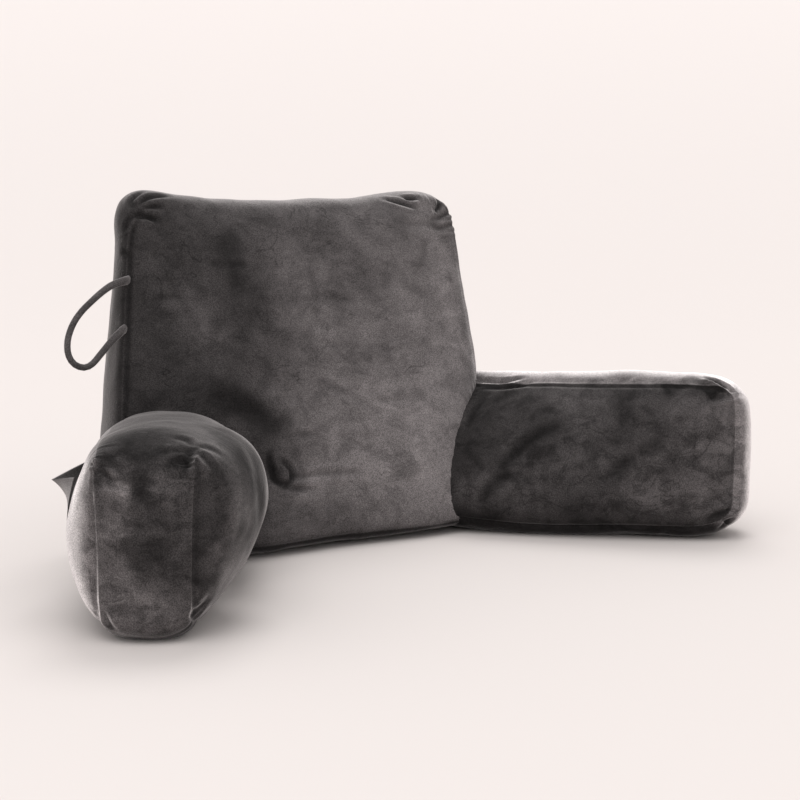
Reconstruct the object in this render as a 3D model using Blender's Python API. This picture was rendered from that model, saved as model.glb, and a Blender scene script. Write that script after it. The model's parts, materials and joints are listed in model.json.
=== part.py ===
"""A reading pillow: a leaning backrest and two splayed arms, all filled velvet, with a carry handle and a side pocket.

Metres, +Z up. The lap side faces -Y, the pillow stands on z = 0, and the middle of its box is over the origin.
Each filled piece is a boxed cushion: a front panel, a back panel and one strip sewn round both. Their outlines
are the seams, the panels and the strip swell between them, and what would reach below z = 0 is flat on it.
"""

import math

import bmesh
import bpy
import numpy as np

# The whole pillow
PLACE_X = -0.024
PLACE_Y = 0.0498
SEWING_GAP = 0.0005

# Backrest: the seams of the leaning front panel and of the smaller back panel
FRONT_TOP_Z = 0.437
BACK_TOP_Z = 0.434
FOOT_SEAM_Z = 0.016
FRONT_TOP_Y = 0.1235
FRONT_FOOT_Y = 0.010
BACK_TOP_Y = 0.203
BACK_FOOT_Y = 0.175
FRONT_HALF_WIDTHS = {"foot_left": 0.311, "top_left": 0.236, "foot_right": 0.258, "top_right": 0.252}
BACK_HALF_WIDTHS = {"foot_left": 0.272, "top_left": 0.204, "foot_right": 0.252, "top_right": 0.208}
BACKREST_CORNER = 0.05
CORNER_SHARPNESS = 16
TOP_SEAM_DIP = 0.009
FOOT_BOW = 0.023
FOOT_TURN = 0.032
FRONT_CROWN = 0.025
BACK_CROWN = 0.020
STRIP_TOP_CROWN = 0.015
STRIP_CORNER_CROWNS = (0.019, 0.009)
STRIP_SIDE_CROWN = 0.011
STRIP_FOOT_CROWN = 0.022
PUCKER_AT = (-0.43, -0.56)
PUCKER_DEPTH = 0.009
PUCKER_SIZE = (0.09, 0.07)

# Arms: plan points (x outward, y) of the inner and the outer panel's seams, each on its own side
ARM_SUNK = 0.16
ARM_CORNER = (0.03, 0.06)
ARM_CORNER_SHARPNESS = 14
REAR_SLANT = 1.6
ARMS = {
    "arm_left": {
        "side": -1,
        "inner_rear_low": (0.150, 0.000),
        "inner_rear_high": (0.192, 0.032),
        "inner_front": (0.3765, -0.3154),
        "outer_rear_low": (0.240, 0.050),
        "outer_rear_high": (0.255, 0.085),
        "outer_front": (0.4515, -0.2657),
        "top_front": 0.206,
        "top_droop": 0.0,
        "top_rear": 0.172,
        "top_rise": 0.012,
        "bend": 0.034,
        "low": 0.012,
        "tuck": 0.022,
        "toe": 0.0,
        "inner_crown": 0.055,
        "outer_crown": 0.057,
        "inner_lift": 0.18,
        "outer_lift": -0.24,
        "top_crown": 0.015,
        "end_crown": 0.007,
        "crease": 0.035,
    },
    "arm_right": {
        "side": 1,
        "inner_rear_low": (0.182, -0.026),
        "inner_rear_high": (0.257, 0.045),
        "inner_front": (0.4424, -0.2583),
        "outer_rear_low": (0.272, 0.040),
        "outer_rear_high": (0.295, 0.085),
        "outer_front": (0.5021, -0.1912),
        "top_front": 0.205,
        "top_droop": 0.008,
        "top_rear": 0.191,
        "top_rise": -0.002,
        "bend": 0.0,
        "low": 0.020,
        "tuck": 0.0,
        "toe": 0.012,
        "inner_crown": 0.035,
        "outer_crown": 0.045,
        "inner_lift": 0.10,
        "outer_lift": 0.0,
        "top_crown": 0.010,
        "end_crown": 0.021,
        "crease": 0.0,
    },
}
ARM_FOOT_CROWN = 0.022
CREASE_AT = 0.05
CREASE_SLANT = 0.12
CREASE_WIDTH = 0.16

# Carry handle: a narrow turned tube, both ends sewn into the left front seam; its route in front of that seam
HANDLE_THICKNESS = 0.008
HANDLE_FORWARD = 0.006
HANDLE_SUNK = 0.015
HANDLE_END_WIDTH = 0.014
HANDLE_STEPS = 46
HANDLE_SIDES = 10
HANDLE_ROUTE = (
    (-0.2517, 0.3492),
    (-0.2640, 0.3478),
    (-0.2772, 0.3436),
    (-0.2917, 0.3352),
    (-0.3045, 0.3262),
    (-0.3172, 0.3165),
    (-0.3286, 0.3050),
    (-0.3369, 0.2925),
    (-0.3420, 0.2796),
    (-0.3431, 0.2662),
    (-0.3389, 0.2557),
    (-0.3309, 0.2500),
    (-0.3221, 0.2489),
    (-0.3130, 0.2528),
    (-0.3030, 0.2615),
    (-0.2928, 0.2707),
    (-0.2833, 0.2791),
    (-0.2739, 0.2858),
    (-0.2640, 0.2902),
)

# Side pocket: a panel on the left arm's outer side, open at its top edge, which gapes away from the arm
POCKET_FRONT_P = 0.50
POCKET_REAR_P = -0.22
POCKET_LOW_Q = -0.62
POCKET_HIGH_Q = 0.50
POCKET_REAR_RISE = 0.05
POCKET_STAND_OFF = 0.0006
POCKET_THICKNESS = 0.0016
POCKET_GAPE = 0.036
POCKET_DROOP = 0.014
POCKET_SPREAD = 3.6
POCKET_TIP = 0.38
POCKET_ALONG = 20
POCKET_UP = 12

# Fineness of the filled pieces: spans across, up and between the two panels
BACKREST_SPANS = (30, 28, 8)
ARM_SPANS = (26, 16, 8)


def lerp(a, b, t):
    """The value that is the share t of the way from a to b."""
    return a + (b - a) * t


def crown(t, flatness, fullness):
    """A padded section across -1 to 1: 1 in the middle and 0 at the seams, steeper there as fullness falls."""
    return np.clip(1 - np.abs(t) ** flatness, 0, 1) ** fullness


def spread_to_edges(count):
    """count + 1 values from -1 to 1 that crowd a little towards both ends, where the padding curves most."""
    even = np.linspace(-1, 1, count + 1)
    return 0.55 * even + 0.45 * np.sin(even * math.pi / 2)


def round_corners(p, q, inset_p, inset_q, sharpness):
    """Pulls the four corners of the square -1 to 1 inwards, and leaves the middles of its sides."""
    return p * (1 - inset_p * np.abs(q) ** sharpness), q * (1 - inset_q * np.abs(p) ** sharpness)


def ring_normals(front_seam, back_seam):
    """The way out of a strip: across both its seams' direction and the way from the front to the back panel."""
    along = np.roll(front_seam + back_seam, -1, 0) - np.roll(front_seam + back_seam, 1, 0)
    normal = np.cross(along, back_seam - front_seam)
    normal /= np.linalg.norm(normal, axis=1)[:, None]
    outward = np.sum(normal * (front_seam - front_seam.mean(0)), axis=1).mean()
    return normal * np.sign(outward)


def boxed_cushion(front, back, strip_crown, across, up, deep):
    """The points and faces of a cushion from its panels, front(p, q) and back(p, q) over the square -1 to 1.

    The strip runs from one outline to the other and swells outwards by strip_crown(p, normal) at its middle.
    """
    rows, columns = spread_to_edges(across), spread_to_edges(up)
    p, q = np.meshgrid(rows, columns, indexing="ij")
    index = np.arange(p.size).reshape(p.shape)
    ring = np.concatenate([index[:-1, 0], index[-1, :-1], index[:0:-1, -1], index[0, :0:-1]])
    front_points, back_points = front(p, q).reshape(-1, 3), back(p, q).reshape(-1, 3)
    front_seam, back_seam = front_points[ring], back_points[ring]
    normal = ring_normals(front_seam, back_seam)
    share = (1 - np.cos(np.linspace(0, math.pi, deep + 1))[1:-1]) / 2
    swell = crown(2 * share - 1, 2, 0.5)[None, :, None] * strip_crown(p.reshape(-1)[ring], normal)[:, None, None]
    strip = lerp(front_seam[:, None], back_seam[:, None], share[None, :, None]) + normal[:, None] * swell
    points = np.concatenate([front_points, back_points, strip.reshape(-1, 3)])
    points[:, 2] = np.maximum(points[:, 2], 0)
    ladder = np.concatenate(
        [ring[:, None], 2 * p.size + np.arange(strip[..., 0].size).reshape(len(ring), -1), p.size + ring[:, None]],
        axis=1,
    )
    after = np.roll(ladder, -1, 0)
    panel = np.stack([index[:-1, :-1], index[1:, :-1], index[1:, 1:], index[:-1, 1:]], -1).reshape(-1, 4)
    band = np.stack([ladder[:, :-1], ladder[:, 1:], after[:, 1:], after[:, :-1]], -1).reshape(-1, 4)
    faces = np.concatenate([panel, p.size + panel[:, ::-1], band])
    return points, outward_faces(points, faces)


def outward_faces(points, faces):
    """The faces, all turned round if the volume that they enclose is negative."""
    a, b, c, d = (points[faces[:, i]] for i in range(4))
    volume = np.sum(np.cross(a, b) * c + np.cross(a, c) * d)
    return faces if volume > 0 else faces[:, ::-1]


def backrest_panel(p, q, widths, top_z, foot_y, top_y):
    """A leaning trapezoid with rounded corners; its top seam dips in the middle."""
    p, q = round_corners(p, q, BACKREST_CORNER, BACKREST_CORNER, CORNER_SHARPNESS)
    rise = (q + 1) / 2
    left = lerp(widths["foot_left"], widths["top_left"], rise)
    right = lerp(widths["foot_right"], widths["top_right"], rise)
    x = p * np.where(p < 0, left, right)
    y = lerp(foot_y, top_y, rise)
    z = lerp(FOOT_SEAM_Z, top_z, rise) - TOP_SEAM_DIP * rise**6 * (1 - p * p)
    return np.stack([x, y, z], -1), rise


def backrest_front(p, q):
    """The front panel: crowned, bowed forwards at its foot, and drawn in at one pucker beside the left arm."""
    points, rise = backrest_panel(p, q, FRONT_HALF_WIDTHS, FRONT_TOP_Z, FRONT_FOOT_Y, FRONT_TOP_Y)
    swell = FRONT_CROWN * crown(p, 3, 0.7) * crown(q, 4, 0.6)
    foot = (1 - rise) ** 2 * (FOOT_BOW * crown(p, 4, 1) + FOOT_TURN * np.clip(p, 0, 0.7))
    away = ((p - PUCKER_AT[0]) / PUCKER_SIZE[0]) ** 2 + ((q - PUCKER_AT[1]) / PUCKER_SIZE[1]) ** 2
    points[..., 1] += PUCKER_DEPTH * np.exp(-away) - swell - foot
    return points


def backrest_back(p, q):
    """The back panel, nearly upright and less crowned."""
    points, _ = backrest_panel(p, q, BACK_HALF_WIDTHS, BACK_TOP_Z, BACK_FOOT_Y, BACK_TOP_Y)
    points[..., 1] += BACK_CROWN * crown(p, 3, 0.7) * crown(q, 4, 0.6)
    return points


def backrest_strip(p, normal):
    """How far the backrest's strip swells: most under the foot and at the two top corners."""
    up, down = np.clip(normal[:, 2], 0, 1), np.clip(-normal[:, 2], 0, 1)
    top = STRIP_TOP_CROWN + np.where(p < 0, *STRIP_CORNER_CROWNS) * p**4
    return up * top + down * STRIP_FOOT_CROWN + (1 - up - down) * STRIP_SIDE_CROWN


def arm_outward(arm):
    """The level direction across an arm, from its inner to its outer panel."""
    run = np.array(arm["inner_front"]) - np.array(arm["inner_rear_low"])
    run /= np.linalg.norm(run)
    return run, np.array([-run[1] * arm["side"], run[0], 0])


def arm_panel(arm, p, q, low, high, front, bend, toe):
    """A panel that runs from the backrest (p = -1, sunk in it) to the arm's front end (p = 1), bent to the lap at its top."""
    p, q = round_corners(p, q, *ARM_CORNER, ARM_CORNER_SHARPNESS)
    along, rise = lerp(-ARM_SUNK, 1, (p + 1) / 2), (q + 1) / 2
    rear = lerp(np.array(low), np.array(high), rise[..., None] ** REAR_SLANT)
    run, outward = arm_outward(arm)
    end = np.array(front) - run * (arm["tuck"] * (1 - rise) ** 2)[..., None]
    plan = lerp(rear, end, along[..., None])
    arch = np.clip(1 - (2 * along - 1) ** 2, 0, 1)
    forward = np.clip(along, 0, 1)
    top = lerp(arm["top_rear"], arm["top_front"], forward) + arm["top_rise"] * arch - arm["top_droop"] * forward**8
    points = np.stack([arm["side"] * plan[..., 0], plan[..., 1], lerp(arm["low"], top, rise)], -1)
    return points - outward * (bend * arch * rise + toe * (1 - rise) ** 2)[..., None]


def arm_section(q, lift):
    """The swell of an arm's panel from its low to its high seam, fullest above the middle by its lift."""
    return crown(q - lift * (1 - q * q), 2.2, 0.6)


def arm_inner(arm, p, q):
    """The panel beside the lap, with the crease where the arm bends."""
    low, high, front = arm["inner_rear_low"], arm["inner_rear_high"], arm["inner_front"]
    points = arm_panel(arm, p, q, low, high, front, arm["bend"], arm["toe"])
    section = arm_section(q, arm["inner_lift"])
    crease = np.exp(-(((p - CREASE_AT + CREASE_SLANT * q) / CREASE_WIDTH) ** 2))
    swell = section * (arm["inner_crown"] * crown(p, 4, 0.7) - arm["crease"] * crease)
    return points - arm_outward(arm)[1] * swell[..., None]


def arm_outer(arm, p, q):
    """The panel on the outer side."""
    points = arm_panel(arm, p, q, arm["outer_rear_low"], arm["outer_rear_high"], arm["outer_front"], 0, 0)
    swell = arm_section(q, arm["outer_lift"]) * arm["outer_crown"] * crown(p, 4, 0.7)
    return points + arm_outward(arm)[1] * swell[..., None]


def arm_strip(arm, normal):
    """How far an arm's strip swells on its top, its front end and its underside."""
    up, down = np.clip(normal[:, 2], 0, 1), np.clip(-normal[:, 2], 0, 1)
    return up * arm["top_crown"] + down * ARM_FOOT_CROWN + (1 - up - down) * arm["end_crown"]


def handle_route():
    """The handle's centreline: from the seam, round in front of the seam's plane, back to the seam and into it."""
    lean = (FRONT_TOP_Y - FRONT_FOOT_Y) / (FRONT_TOP_Z - FOOT_SEAM_Z)
    plan = np.array(HANDLE_ROUTE)
    ends = plan[[0, -1]] + (HANDLE_SUNK, 0)
    plan = np.concatenate([ends[:1], plan, ends[1:]])
    forward = np.full(len(plan), HANDLE_FORWARD)
    forward[[1, -2]] = 0
    forward[[0, -1]] = -HANDLE_SUNK
    y = FRONT_FOOT_Y + lean * (plan[:, 1] - FOOT_SEAM_Z) - forward
    return smooth_line(np.stack([plan[:, 0], y, plan[:, 1]], -1), HANDLE_STEPS)


def smooth_line(points, steps):
    """A Catmull-Rom curve through the points, read at even steps along its length."""
    padded = np.concatenate([2 * points[:1] - points[1:2], points, 2 * points[-1:] - points[-2:-1]])
    a, b, c, d = padded[:-3, None], padded[1:-2, None], padded[2:-1, None], padded[3:, None]
    t = np.linspace(0, 1, 12, endpoint=False)[None, :, None]
    fine = (2 * b + (c - a) * t + (2 * a - 5 * b + 4 * c - d) * t**2 + (3 * b - a - 3 * c + d) * t**3) / 2
    fine = np.concatenate([fine.reshape(-1, 3), points[-1:]])
    along = np.concatenate([[0], np.cumsum(np.linalg.norm(np.diff(fine, axis=0), axis=1))])
    even = np.linspace(0, along[-1], steps + 1)
    return np.stack([np.interp(even, along, fine[:, i]) for i in range(3)], -1)


def capped_tube(route):
    """A round tube along the route, flattened towards both ends where it is sewn down, with closed ends."""
    tangent = np.gradient(route, axis=0)
    tangent /= np.linalg.norm(tangent, axis=1, keepdims=True)
    forward = np.cross(np.cross(tangent, (0, -1, 0)), tangent)
    forward /= np.linalg.norm(forward, axis=1, keepdims=True)
    side = np.cross(tangent, forward)
    near_end = np.abs(np.linspace(-1, 1, len(route)))[:, None] ** 4
    width = lerp(HANDLE_THICKNESS, HANDLE_END_WIDTH, near_end) / 2
    depth = lerp(HANDLE_THICKNESS, HANDLE_THICKNESS * 0.7, near_end) / 2
    turn = np.linspace(0, 2 * math.pi, HANDLE_SIDES, endpoint=False)[None, :, None]
    rings = route[:, None] + np.cos(turn) * (side * width)[:, None] + np.sin(turn) * (forward * depth)[:, None]
    index = np.arange(rings.shape[0] * HANDLE_SIDES).reshape(rings.shape[:2])
    after = np.roll(index, -1, axis=1)
    wall = np.stack([index[:-1], after[:-1], after[1:], index[1:]], -1).reshape(-1, 4)
    first, last = index.size + np.arange(2)
    caps = [np.stack([np.full(HANDLE_SIDES, middle), ring, np.roll(ring, -1)], -1)
            for middle, ring in ((first, index[0, ::-1]), (last, index[-1]))]
    points = np.concatenate([rings.reshape(-1, 3), route[:1], route[-1:]])
    return points, wall.tolist() + np.concatenate(caps).tolist()


def pocket_sheet(a, b, off):
    """The pocket's panel: a runs from its front to its rear edge, b from its foot to its mouth, off is out of the arm.

    It follows the arm's outer panel, and near the mouth it stands away from it and droops, most at the tip.
    """
    arm = ARMS["arm_left"]
    p, q = lerp(POCKET_FRONT_P, POCKET_REAR_P, a), lerp(POCKET_LOW_Q, POCKET_HIGH_Q + POCKET_REAR_RISE * a, b)
    tent = np.where(a < POCKET_TIP, a / POCKET_TIP, (1 - a) / (1 - POCKET_TIP)) * b**POCKET_SPREAD
    stand = POCKET_STAND_OFF + off + POCKET_GAPE * tent
    points = arm_outer(arm, p, q) + arm_outward(arm)[1] * stand[..., None]
    points[..., 2] -= POCKET_DROOP * tent
    return points


def closed_sheet(inner, outer):
    """The points and faces of a thin closed solid between two grids of the same size."""
    rows, columns = inner.shape[:2]
    index = np.arange(rows * columns).reshape(rows, columns)
    rim = np.concatenate([index[:-1, 0], index[-1, :-1], index[:0:-1, -1], index[0, :0:-1]])
    panel = np.stack([index[:-1, :-1], index[1:, :-1], index[1:, 1:], index[:-1, 1:]], -1).reshape(-1, 4)
    after = np.roll(rim, -1)
    edge = np.stack([rim, index.size + rim, index.size + after, after], -1)
    points = np.concatenate([inner.reshape(-1, 3), outer.reshape(-1, 3)])
    return points, outward_faces(points, np.concatenate([panel, index.size + panel[:, ::-1], edge]))


def clear_scene():
    for item in list(bpy.data.objects):
        bpy.data.objects.remove(item, do_unlink=True)


def material(name, colour, roughness):
    """A cloth finish: its colour and roughness, not metallic."""
    finish = bpy.data.materials.new(name)
    finish.use_nodes = True
    shader = finish.node_tree.nodes["Principled BSDF"]
    shader.inputs["Base Color"].default_value = (*colour, 1)
    shader.inputs["Roughness"].default_value = roughness
    shader.inputs["Metallic"].default_value = 0
    return finish


def add_object(name, data, finish):
    item = bpy.data.objects.new(name, data)
    bpy.context.scene.collection.objects.link(item)
    if finish:
        data.materials.append(finish)
    return item


def placed(points):
    """The points with the middle of the pillow's box over the origin."""
    return points + np.array([PLACE_X, PLACE_Y, 0])


def add_solid(name, points, faces, finish):
    """A mesh object of triangles from points and faces, smooth but for its flat foot."""
    data = bpy.data.meshes.new(name)
    data.from_pydata(placed(points).tolist(), [], [list(face) for face in faces])
    shape = bmesh.new()
    shape.from_mesh(data)
    bmesh.ops.triangulate(shape, faces=shape.faces[:])
    shape.to_mesh(data)
    shape.free()
    data.shade_smooth()
    data.set_sharp_from_angle(angle=math.radians(50))
    return add_object(name, data, finish)


def add_cutter(name, solid):
    """A copy of a solid that is larger by the sewing gap all round, for cutting its neighbours."""
    data = solid.data.copy()
    data.name = name
    shape = bmesh.new()
    shape.from_mesh(data)
    for vertex in shape.verts:
        vertex.co += vertex.normal * SEWING_GAP
    shape.to_mesh(data)
    shape.free()
    cutter = add_object(name, data, None)
    cutter.hide_render = True
    cutter.display_type = "WIRE"
    return cutter


def cut_away(solid, cutter):
    cut = solid.modifiers.new("sewn against the backrest", "BOOLEAN")
    cut.operation = "DIFFERENCE"
    cut.object = cutter
    cut.solver = "EXACT"
    join = solid.modifiers.new("close the slivers", "WELD")
    join.merge_threshold = 0.0001


def add_backrest():
    points, faces = boxed_cushion(backrest_front, backrest_back, backrest_strip, *BACKREST_SPANS)
    return add_solid("backrest", points, faces, material("backrest velvet", (0.075, 0.070, 0.070), 0.85))


def add_arm(name, cutter):
    arm = ARMS[name]
    points, faces = boxed_cushion(
        lambda p, q: arm_inner(arm, p, q),
        lambda p, q: arm_outer(arm, p, q),
        lambda p, normal: arm_strip(arm, normal),
        *ARM_SPANS,
    )
    cut_away(add_solid(name, points, faces, material(name + " velvet", (0.065, 0.062, 0.064), 0.85)), cutter)


def add_handle(cutter):
    points, faces = capped_tube(handle_route())
    cut_away(add_solid("handle", points, faces, material("handle velvet", (0.055, 0.050, 0.048), 0.8)), cutter)


def add_pocket():
    a, b = np.meshgrid(np.linspace(0, 1, POCKET_ALONG + 1), np.linspace(0, 1, POCKET_UP + 1), indexing="ij")
    points, faces = closed_sheet(pocket_sheet(a, b, 0), pocket_sheet(a, b, POCKET_THICKNESS))
    add_solid("pocket", points, faces, material("pocket velvet", (0.055, 0.052, 0.053), 0.85))


def main():
    clear_scene()
    backrest = add_backrest()
    cutter = add_cutter("backrest cutter", backrest)
    for name in ARMS:
        add_arm(name, cutter)
    add_handle(cutter)
    add_pocket()


main()
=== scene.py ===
"""The reading pillow's looks: charcoal velvet over soft filling, on a pale floor under soft studio light.

The pieces are worked out as the part's solids are, on a finer grid. The seams, gathers, folds and lumps of
the filling are added along the surface's own normals.
"""

import json
import math

import bpy
import numpy as np
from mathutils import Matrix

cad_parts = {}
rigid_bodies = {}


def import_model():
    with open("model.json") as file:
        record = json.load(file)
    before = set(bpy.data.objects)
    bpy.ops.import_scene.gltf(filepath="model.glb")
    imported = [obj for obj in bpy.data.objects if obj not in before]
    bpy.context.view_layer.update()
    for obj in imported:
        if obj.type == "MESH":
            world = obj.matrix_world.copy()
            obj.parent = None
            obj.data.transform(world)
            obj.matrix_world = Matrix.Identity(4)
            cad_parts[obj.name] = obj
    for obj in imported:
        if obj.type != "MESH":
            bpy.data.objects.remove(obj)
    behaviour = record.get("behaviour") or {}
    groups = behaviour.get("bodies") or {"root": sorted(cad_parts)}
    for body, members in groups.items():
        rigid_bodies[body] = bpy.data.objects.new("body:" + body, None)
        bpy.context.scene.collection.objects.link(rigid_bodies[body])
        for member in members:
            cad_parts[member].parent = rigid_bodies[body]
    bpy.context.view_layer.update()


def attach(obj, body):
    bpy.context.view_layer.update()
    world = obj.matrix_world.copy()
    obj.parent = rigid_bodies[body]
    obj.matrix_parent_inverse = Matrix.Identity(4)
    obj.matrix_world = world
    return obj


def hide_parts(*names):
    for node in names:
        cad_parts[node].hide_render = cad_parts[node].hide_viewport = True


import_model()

# The whole pillow
PLACE_X = -0.024
PLACE_Y = 0.0498

# Backrest: the seams of the leaning front panel and of the smaller back panel; pairs are left, right
FRONT_TOP_Z = 0.437
BACK_TOP_Z = 0.434
FOOT_SEAM_Z = 0.016
FRONT_TOP_Y = 0.1235
FRONT_FOOT_Y = 0.010
BACK_TOP_Y = 0.203
BACK_FOOT_Y = 0.175
FRONT_HALF_WIDTHS = {"foot_left": 0.311, "top_left": 0.236, "foot_right": 0.254, "top_right": 0.2600}
BACK_HALF_WIDTHS = {"foot_left": 0.272, "top_left": 0.204, "foot_right": 0.252, "top_right": 0.215}
BACKREST_CORNER = (0.05, 0.030)
CORNER_SHARPNESS = 16
TOP_SEAM_DIP = 0.009
FOOT_BOW = 0.023
FOOT_TURN = 0.032
FRONT_CROWN = 0.025
BACK_CROWN = 0.020
ACROSS_SECTION = (3, 0.7)
UP_SECTION = (4, 0.6)
STRIP_TOP_CROWN = 0.016
STRIP_CORNER_CROWNS = (0.019, 0.009)
STRIP_SIDE_CROWN = 0.011
STRIP_FOOT_CROWN = 0.022
PUCKER_AT = (-0.43, -0.56)
PUCKER_DEPTH = 0.009
PUCKER_SIZE = (0.09, 0.07)

# Arms: plan points (x outward, y) of their panels' seams, and other values, as pairs (left arm, right arm)
ARM_SUNK = 0.16
ARM_CORNER = (0.03, 0.06)
ARM_CORNER_SHARPNESS = 14
REAR_SLANT = 1.6
ARM_PAIRS = {
    "side": (-1, 1),
    "inner_rear_low": ((0.150, 0.000), (0.182, -0.026)),
    "inner_rear_high": ((0.192, 0.032), (0.257, 0.045)),
    "inner_front": ((0.3730, -0.3175), (0.4424, -0.2583)),
    "outer_rear_low": ((0.240, 0.050), (0.272, 0.040)),
    "outer_rear_high": ((0.255, 0.085), (0.295, 0.085)),
    "outer_front": ((0.4585, -0.2610), (0.5021, -0.1912)),
    "top_front": (0.206, 0.2085),
    "top_droop": (0.0, 0.0055),
    "top_rear": (0.172, 0.191),
    "top_rise": (0.012, -0.002),
    "bend": (0.034, 0.0),
    "low": (0.012, 0.020),
    "tuck": (0.022, 0.0),
    "toe": (-0.009, 0.012),
    "inner_crown": (0.051, 0.035),
    "outer_crown": (0.052, 0.045),
    "inner_lift": (0.18, 0.10),
    "outer_lift": (-0.24, 0.0),
    "top_crown": (0.015, 0.012),
    "low_corner": (1.8, 2.3),
    "end_crown": (0.007, 0.026),
    "crease": (0.035, 0.0),
}
ARM_NAMES = ("arm_left", "arm_right")
ARMS = {arm: {key: pair[i] for key, pair in ARM_PAIRS.items()} for i, arm in enumerate(ARM_NAMES)}
ARM_FOOT_CROWN = 0.022
ARM_LENGTH_SECTION = (4, 0.7)
ARM_HEIGHT_SECTION = (2.2, 0.6)
CREASE_AT = 0.05
CREASE_SLANT = 0.12
CREASE_WIDTH = 0.16

# Carry handle: a narrow turned tube, both ends sewn into the left front seam; its route as (x, z)
HANDLE_THICKNESS = 0.008
HANDLE_FORWARD = 0.006
HANDLE_SUNK = 0.015
HANDLE_END_WIDTH = 0.014
HANDLE_STEPS = 46
HANDLE_SIDES = 18
HANDLE_FLATTENED = 0.7
HANDLE_SEAM = 14
HANDLE_SEAM_PILE = -1.0
HANDLE_ROUTE = (
    (-0.2517, 0.3492), (-0.2640, 0.3478), (-0.2772, 0.3436), (-0.2917, 0.3352), (-0.3045, 0.3262),
    (-0.3172, 0.3165), (-0.3286, 0.3050), (-0.3369, 0.2925), (-0.3420, 0.2796), (-0.3431, 0.2662),
    (-0.3389, 0.2557), (-0.3309, 0.2500), (-0.3221, 0.2489), (-0.3130, 0.2528), (-0.3030, 0.2615),
    (-0.2928, 0.2707), (-0.2833, 0.2791), (-0.2739, 0.2858), (-0.2640, 0.2902),
)

# Side pocket: a panel on the left arm's outer side, open at its top edge, which gapes away from the arm
POCKET_FRONT_P = 0.50
POCKET_REAR_P = -0.22
POCKET_LOW_Q = -0.62
POCKET_HIGH_Q = 0.50
POCKET_REAR_RISE = 0.05
POCKET_STAND_OFF = 0.0006
POCKET_THICKNESS = 0.0016
POCKET_GAPE = 0.036
POCKET_DROOP = 0.014
POCKET_SPREAD = 3.6
POCKET_TIP = 0.38
POCKET_PILE = -0.1
POCKET_SPANS = (80, 48)

# Fineness: a cushion's spans across, up and between its panels, and the steps of a ring that is softened
BACKREST_SPANS = (190, 168, 36)
ARM_SPANS = (168, 96, 44)
EDGE_CROWDING = 0.45
RING_STEPS = 1024
PAIRS_AT_ONCE = 3_000_000

# How far the strips' corners are rounded between their seams, and the height from which they are
BACKREST_ROUNDING = (0.010, 0.30)
ARM_ROUNDING = {"arm_left": (0.042, 0.12), "arm_right": (0.014, 0.12)}
ROUNDING_FADE = 0.05

# Smooth noise: the cells of its lattice, the gain that brings it to about -1 to 1, and the seeds, to which a
# seam and the clusters of its gathers add their own
NOISE_CELLS = 64
NOISE_GAIN = 1.6
BACKREST_SEED = 11
ARM_SEEDS = {"arm_left": 31, "arm_right": 41}
SEAM_SEED = 10
CLUSTER_SEED = 50
PILE_SEED = 71

# The cloth is taut at the top seams: it is evened out near them, so many times, but not at held places
TAUT_WIDTH = 0.030
TAUT_ROUNDS = 90
TAUT_STEP = 0.6
TAUT_LEAST = 0.004
TAUT_FADE = 0.04
HELD_RADIUS = 0.070
BACKREST_TAUT_FROM = 0.400
ARM_TAUT_FROM = 0.140

# Seams: a stitched groove, and gathers that run from it into the cloth; corners are (p, q, radius, height)
RIDGE_HEIGHT = 0.0010
SEAM_WIDTH = 0.0026
GROOVE_DEPTH = 0.0022
GROOVE_AT = 1.6 * SEAM_WIDTH
GROOVE_WIDTH = 1.3 * SEAM_WIDTH
# the width of the painted highlight along a strip's edge at its seam
SEAM_PAINTED_HIGHLIGHT_WIDTH = 0.0018
SEAM_REACH = 0.06
GATHER_WAVE = 0.019
GATHER_WAVES = (0.55, 1.6)
GATHER_REACH = 0.014
GATHER_HEIGHT = 0.0005
GATHER_START = 0.003
CORNER_REACH = 0.7
CLUSTER_SIZE = 0.09
CLUSTER_SHARE = 0.25
BACKREST_FRONT_CORNERS = (
    (-1.0, 1.0, 0.040, 0.0012),
    (1.0, 1.0, 0.035, 0.0014),
    (-1.0, -1.0, 0.040, 0.0010),
    (1.0, -1.0, 0.040, 0.0010),
)
BACKREST_BACK_CORNERS = (
    (-1.0, 1.0, 0.040, 0.0032),
    (1.0, 1.0, 0.040, 0.0032),
    (-1.0, -1.0, 0.040, 0.0020),
    (1.0, -1.0, 0.040, 0.0020),
)
ARM_CORNERS = ((1.0, 1.0, 0.030, 0.0010), (1.0, -1.0, 0.026, 0.0006))

# The filling: broad lumps and smaller ones under the cloth, as (size, height)
LUMPS = ((0.130, 0.0022), (0.055, 0.0010), (0.026, 0.00045))

# The velvet: its shader's values, its colour face on, and its pale rim, a sheen painted into the colour
VELVET_SURFACE = {
    "Roughness": 0.9,
    "Metallic": 0,
    "Specular IOR Level": 0.1,
    "Sheen Weight": 0.3,
    "Sheen Roughness": 0.27,
    "Sheen Tint": (1.0, 0.965, 0.96, 1),
}
VELVET_COLOUR = (0.0395, 0.0363, 0.0366)
PAINTED_SHEEN_COLOUR = (0.190, 0.182, 0.182)
PAINTED_SHEEN_FROM = 0.32
PAINTED_SHEEN_POWER = 1.35

# Each velvet's brightness and how mottled it is
VELVET_LOOKS = {"backrest": (1.15, 0.6), "arm": (1.0, 1.1), "handle": (1.3, 0.6), "pocket": (0.85, 0.8)}

# The velvet's noise: its two stretches, the scales of its grain and fibres, and its thin crush lines
LEVEL_STRETCH = (0.8, 0.8, 1.2)
UPRIGHT_STRETCH = (1.3, 1.3, 0.5)
GRAIN_SCALE = 800.0
FIBRE_SCALE = 1000.0
CRUSH_LINE = 0.013
CRUSH_SHADE = 0.32

# The pile attribute, the pile's lie with painted light and shade: its range, and what its two ends make of
# the velvet's colour and of its painted sheen
PILE_RANGE = (-1.2, 2.4)
PILE_AND_PAINTED_LIGHT_BRIGHTNESS = (0.35, 4.2)
PILE_PAINTED_SHEEN = (0.05, 4.4)

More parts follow.
